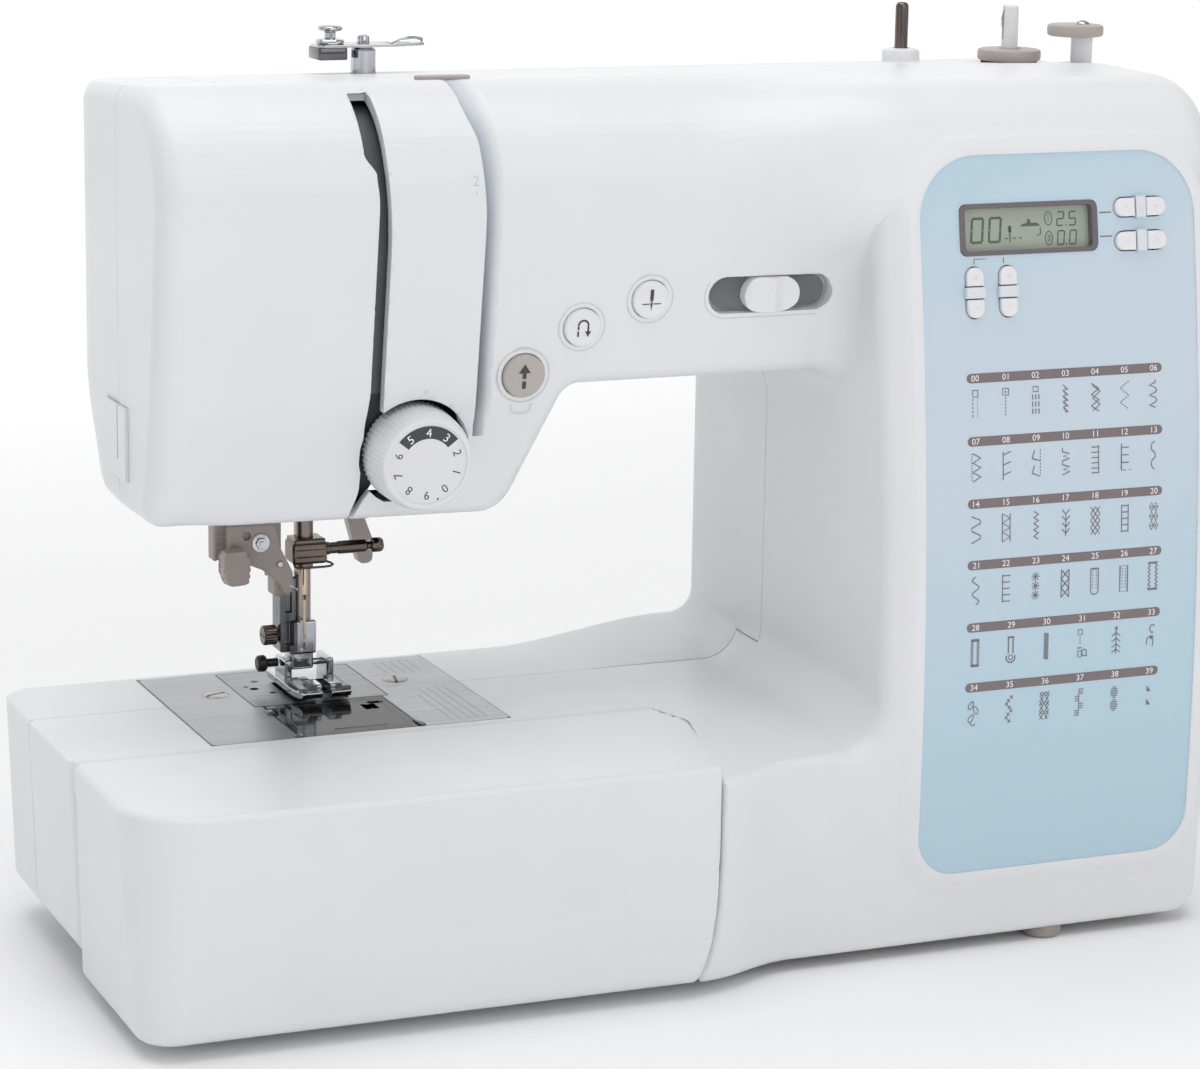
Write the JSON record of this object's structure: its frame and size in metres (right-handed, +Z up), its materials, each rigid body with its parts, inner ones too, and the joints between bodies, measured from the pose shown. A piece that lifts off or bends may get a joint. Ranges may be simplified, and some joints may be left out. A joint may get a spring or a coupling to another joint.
{
  "type": "domestic sewing machine",
  "caption": "Compact white computerised free-arm sewing machine with display panel, push buttons, tension dial, drop-in bobbin and pull-off flat-bed attachment.",
  "frame": {"origin": "centre of the bounding box, at the table under the rubber feet", "axes": "+X along the machine towards the handwheel, +Y away from the operator, +Z up"},
  "size_m": [0.4161, 0.1746, 0.3165],
  "materials": {
    "base": "matt white",
    "belt": "black rubber",
    "bezel": "satin brown grey",
    "board": "matt green",
    "cast": "as cast",
    "chrome": "polished",
    "clear": "clear plastic",
    "dark": "matt black",
    "nickel": "dark nickel",
    "panel": "printed light blue",
    "rubber": "grey rubber",
    "shell": "satin white",
    "smoke": "clear smoked plastic",
    "steel": "brushed",
    "taupe": "satin taupe",
    "white": "satin white"
  },
  "bodies": {
    "housing": {"front_shell": "shell", "rear_shell": "shell", "face_cover": "shell", "base_plate": "base", "rubber_feet": "rubber", "control_panel": "panel", "lcd_window": "bezel", "main_board": "board", "needle_plate": "steel", "stitch_plate": "steel", "plate_screws": "chrome", "bobbin_cover": "smoke", "bobbin_case": "dark", "cast_frame": "cast", "drive_belts": "belt", "drive_motor": "dark", "top_thread_guide": "steel", "winder_stopper": "taupe", "tension_discs": "chrome", "thread_cutter": "white", "power_inlet": "dark"},
    "main_shaft": {"main_shaft": "steel", "handwheel": "white"},
    "connecting_link": {"connecting_link": "steel"},
    "motor_pulley": {"motor_pulley": "steel"},
    "lower_shaft": {"lower_shaft": "steel"},
    "rotary_hook": {"rotary_hook": "dark"},
    "bobbin": {"bobbin": "clear"},
    "needle_bar_frame": {"needle_bar_frame": "cast"},
    "needle_bar": {"needle_bar": "nickel", "needle_clamp": "nickel", "needle": "chrome"},
    "clamp_screw": {"clamp_screw": "nickel"},
    "needle_threader": {"needle_threader": "taupe"},
    "takeup_lever": {"takeup_lever": "chrome"},
    "presser_bar": {"presser_bar": "nickel", "foot_holder": "chrome"},
    "holder_screw": {"holder_screw": "nickel"},
    "presser_foot": {"presser_foot": "chrome"},
    "lifter_lever": {"lifter_lever": "taupe"},
    "feed_bar": {"feed_bar": "cast"},
    "feed_dog": {"feed_dog": "steel"},
    "start_button": {"start_button": "taupe"},
    "reverse_button": {"reverse_button": "white"},
    "needle_button": {"needle_button": "white"},
    "speed_slider": {"speed_slider": "white"},
    "tension_dial": {"tension_dial": "white"},
    "spool_pin": {"spool_pin": "nickel"},
    "winder_arm": {"winder_arm": "base"},
    "winder_shaft": {"winder_shaft": "white"},
    "accessory_box": {"accessory_box": "shell"},
    "power_switch": {"power_switch": "dark"},
    "length_minus": {"length_minus": "white"},
    "length_plus": {"length_plus": "white"},
    "width_minus": {"width_minus": "white"},
    "width_plus": {"width_plus": "white"},
    "tens_plus": {"tens_plus": "white"},
    "tens_minus": {"tens_minus": "white"},
    "units_plus": {"units_plus": "white"},
    "units_minus": {"units_minus": "white"}
  },
  "joints": [
    {"name": "handwheel_turn", "type": "hinge", "parent": "housing", "child": "main_shaft", "pos_m": [0.0442, 0.0453, 0.24], "axis": [1, 0, 0], "continuous": true},
    {"name": "link_swing", "type": "hinge", "parent": "main_shaft", "child": "connecting_link", "pos_m": [-0.0963, 0.0453, 0.255], "axis": [1, 0, 0], "continuous": true},
    {"name": "motor_turn", "type": "hinge", "parent": "housing", "child": "motor_pulley", "pos_m": [0.1442, -0.0007, 0.135], "axis": [1, 0, 0], "continuous": true},
    {"name": "lower_shaft_turn", "type": "hinge", "parent": "housing", "child": "lower_shaft", "pos_m": [-0.0158, 0.0453, 0.04], "axis": [1, 0, 0], "continuous": true},
    {"name": "hook_turn", "type": "hinge", "parent": "housing", "child": "rotary_hook", "pos_m": [-0.1058, 0.0248, 0.05], "axis": [0, 0, 1], "continuous": true},
    {"name": "bobbin_turn", "type": "hinge", "parent": "housing", "child": "bobbin", "pos_m": [-0.1058, 0.0248, 0.068], "axis": [0, 0, 1], "continuous": true},
    {"name": "needle_position", "type": "hinge", "parent": "housing", "child": "needle_bar_frame", "pos_m": [-0.1058, 0.0503, 0.285], "axis": [0, -1, 0], "range_deg": [0, 2]},
    {"name": "needle_stroke", "type": "slide", "parent": "needle_bar_frame", "child": "needle_bar", "axis": [0, 0, 1], "range_m": [-0.03, 0.001]},
    {"name": "clamp_screw_turn", "type": "hinge", "parent": "needle_bar", "child": "clamp_screw", "pos_m": [-0.0938, 0.0453, 0.1318], "axis": [1, 0, 0], "range_deg": [-720, 0]},
    {"name": "threader_pull", "type": "slide", "parent": "needle_bar_frame", "child": "needle_threader", "axis": [0, 0, -1], "range_m": [0, 0.025], "stiffness_N_per_m": 60, "springref_m": -0.012},
    {"name": "takeup_swing", "type": "hinge", "parent": "housing", "child": "takeup_lever", "pos_m": [-0.1103, 0.0213, 0.262], "axis": [1, 0, 0], "range_deg": [-6, 45]},
    {"name": "lifter_turn", "type": "hinge", "parent": "housing", "child": "lifter_lever", "pos_m": [-0.0938, 0.0773, 0.17], "axis": [0, -1, 0], "range_deg": [0, 60]},
    {"name": "presser_lift", "type": "slide", "parent": "housing", "child": "presser_bar", "axis": [0, 0, 1], "range_m": [0, 0.0065]},
    {"name": "holder_screw_turn", "type": "hinge", "parent": "presser_bar", "child": "holder_screw", "pos_m": [-0.1178, 0.0583, 0.099], "axis": [1, 0, 0], "range_deg": [-720, 0]},
    {"name": "foot_tilt", "type": "hinge", "parent": "presser_bar", "child": "presser_foot", "pos_m": [-0.1058, 0.0573, 0.0884], "axis": [1, 0, 0], "range_deg": [-5, 1.2]},
    {"name": "feed_slide", "type": "slide", "parent": "housing", "child": "feed_bar", "axis": [0, 1, 0], "range_m": [-0.0025, 0.0025]},
    {"name": "feed_lift", "type": "slide", "parent": "feed_bar", "child": "feed_dog", "axis": [0, 0, 1], "range_m": [-0.0016, 0.0014]},
    {"name": "start_press", "type": "slide", "parent": "housing", "child": "start_button", "axis": [0, 0.9901, 0.14], "range_m": [0, 0.0015], "stiffness_N_per_m": 600},
    {"name": "reverse_press", "type": "slide", "parent": "housing", "child": "reverse_button", "axis": [0, 0.9901, 0.14], "range_m": [0, 0.0015], "stiffness_N_per_m": 600},
    {"name": "needle_press", "type": "slide", "parent": "housing", "child": "needle_button", "axis": [0, 0.9901, 0.14], "range_m": [0, 0.0015], "stiffness_N_per_m": 600},
    {"name": "speed_slide", "type": "slide", "parent": "housing", "child": "speed_slider", "axis": [1, 0, 0], "range_m": [-0.0115, 0.0115]},
    {"name": "tension_turn", "type": "hinge", "parent": "housing", "child": "tension_dial", "pos_m": [-0.096, -0.0417, 0.1778], "axis": [0, -0.9962, -0.0872], "range_deg": [-180, 144]},
    {"name": "spool_pin_pull", "type": "slide", "parent": "housing", "child": "spool_pin", "axis": [0, 0, 1], "range_m": [0, 0.045]},
    {"name": "winder_shift", "type": "slide", "parent": "housing", "child": "winder_arm", "axis": [1, 0, 0], "range_m": [0, 0.0035]},
    {"name": "winder_turn", "type": "hinge", "parent": "winder_arm", "child": "winder_shaft", "pos_m": [0.1574, 0.0373, 0.3], "axis": [0, 0, 1], "continuous": true},
    {"name": "box_pull", "type": "slide", "parent": "housing", "child": "accessory_box", "axis": [-1, 0, 0], "range_m": [0, 0.215]},
    {"name": "power_rock", "type": "hinge", "parent": "housing", "child": "power_switch", "pos_m": [0.1877, 0.0593, 0.065], "axis": [0, -1, 0], "range_deg": [0, 13]},
    {"name": "length_minus_press", "type": "slide", "parent": "housing", "child": "length_minus", "axis": [0, 0.9852, -0.1714], "range_m": [0, 0.0008], "stiffness_N_per_m": 500},
    {"name": "length_plus_press", "type": "slide", "parent": "housing", "child": "length_plus", "axis": [0, 0.9852, -0.1714], "range_m": [0, 0.0008], "stiffness_N_per_m": 500},
    {"name": "width_minus_press", "type": "slide", "parent": "housing", "child": "width_minus", "axis": [0, 0.987, -0.1609], "range_m": [0, 0.0008], "stiffness_N_per_m": 500},
    {"name": "width_plus_press", "type": "slide", "parent": "housing", "child": "width_plus", "axis": [0, 0.987, -0.1609], "range_m": [0, 0.0008], "stiffness_N_per_m": 500},
    {"name": "tens_plus_press", "type": "slide", "parent": "housing", "child": "tens_plus", "axis": [0, 0.9892, -0.1469], "range_m": [0, 0.0008], "stiffness_N_per_m": 500},
    {"name": "tens_minus_press", "type": "slide", "parent": "housing", "child": "tens_minus", "axis": [0, 0.9892, -0.1469], "range_m": [0, 0.0008], "stiffness_N_per_m": 500},
    {"name": "units_plus_press", "type": "slide", "parent": "housing", "child": "units_plus", "axis": [0, 0.9892, -0.1469], "range_m": [0, 0.0008], "stiffness_N_per_m": 500},
    {"name": "units_minus_press", "type": "slide", "parent": "housing", "child": "units_minus", "axis": [0, 0.9892, -0.1469], "range_m": [0, 0.0008], "stiffness_N_per_m": 500}
  ],
  "couplings": [
    {"joint": "link_swing", "follows": "handwheel_turn", "ratio": -1},
    {"joint": "lower_shaft_turn", "follows": "handwheel_turn", "ratio": 1},
    {"joint": "hook_turn", "follows": "handwheel_turn", "ratio": 2},
    {"joint": "motor_turn", "follows": "handwheel_turn", "ratio": 5},
    {"joint": "lifter_turn", "follows": "presser_lift", "rad_per_m": 161}
  ]
}
